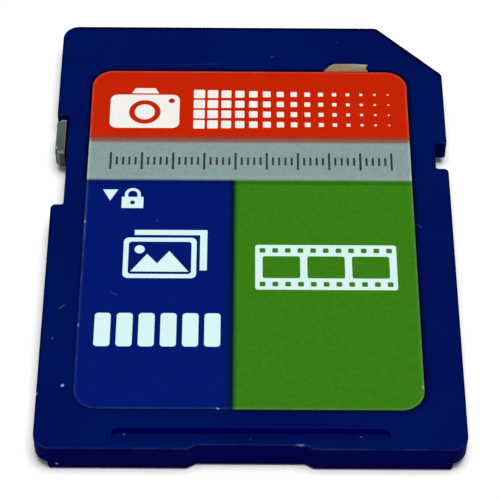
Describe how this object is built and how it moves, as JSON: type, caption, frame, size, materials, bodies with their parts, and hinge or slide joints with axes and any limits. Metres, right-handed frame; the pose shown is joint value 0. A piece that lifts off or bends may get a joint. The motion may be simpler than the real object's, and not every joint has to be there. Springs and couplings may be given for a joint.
{
  "type": "memory card",
  "caption": "Flat rectangular flash memory card with a keyed corner, guide rails, a sliding write-protect lock, a printed label and a row of recessed contacts underneath.",
  "frame": {"origin": "centre of the card's outline on the plane that the contact face rests on", "axes": "+X across the card to the keyed corner's side, +Y along it to the contact end, +Z out of the label"},
  "size_m": [0.024, 0.032, 0.0022],
  "materials": {
    "cover_plastic": "satin moulded navy blue with light wear",
    "slider_plastic": "satin moulded grey",
    "label_print": "printed film with fields of red, grey, blue and green",
    "residue_paper": "torn, yellowed paper and glue",
    "board_laminate": "green solder resist",
    "contact_gold": "gold plating with fine wipe marks",
    "chip_moulding": "matt black moulding compound",
    "lead_tin": "dull tin plating",
    "resistor_body": "black glaze with tinned ends",
    "capacitor_body": "fired tan ceramic with tinned ends"
  },
  "bodies": {
    "case": {"front_cover": "cover_plastic", "rear_cover": "cover_plastic", "front_label": "label_print", "sticker_residue": "residue_paper", "circuit_board": "board_laminate", "contact_pad_1": "contact_gold", "contact_pad_2": "contact_gold", "contact_pad_3": "contact_gold", "contact_pad_4": "contact_gold", "contact_pad_5": "contact_gold", "contact_pad_6": "contact_gold", "contact_pad_7": "contact_gold", "contact_pad_8": "contact_gold", "contact_pad_9": "contact_gold", "controller_chip": "chip_moulding", "flash_chip": "chip_moulding", "controller_terminals": "lead_tin", "flash_leads": "lead_tin", "resistor_1": "resistor_body", "resistor_2": "resistor_body", "resistor_3": "resistor_body", "resistor_4": "resistor_body", "resistor_5": "resistor_body", "capacitor_1": "capacitor_body", "capacitor_2": "capacitor_body", "capacitor_3": "capacitor_body", "capacitor_4": "capacitor_body", "capacitor_5": "capacitor_body", "capacitor_6": "capacitor_body"},
    "lock": {"lock_slider": "slider_plastic"}
  },
  "joints": [
    {"name": "lock_slide", "type": "slide", "parent": "case", "child": "lock", "axis": [0, -1, 0], "range_m": [0, 0.0038]}
  ]
}
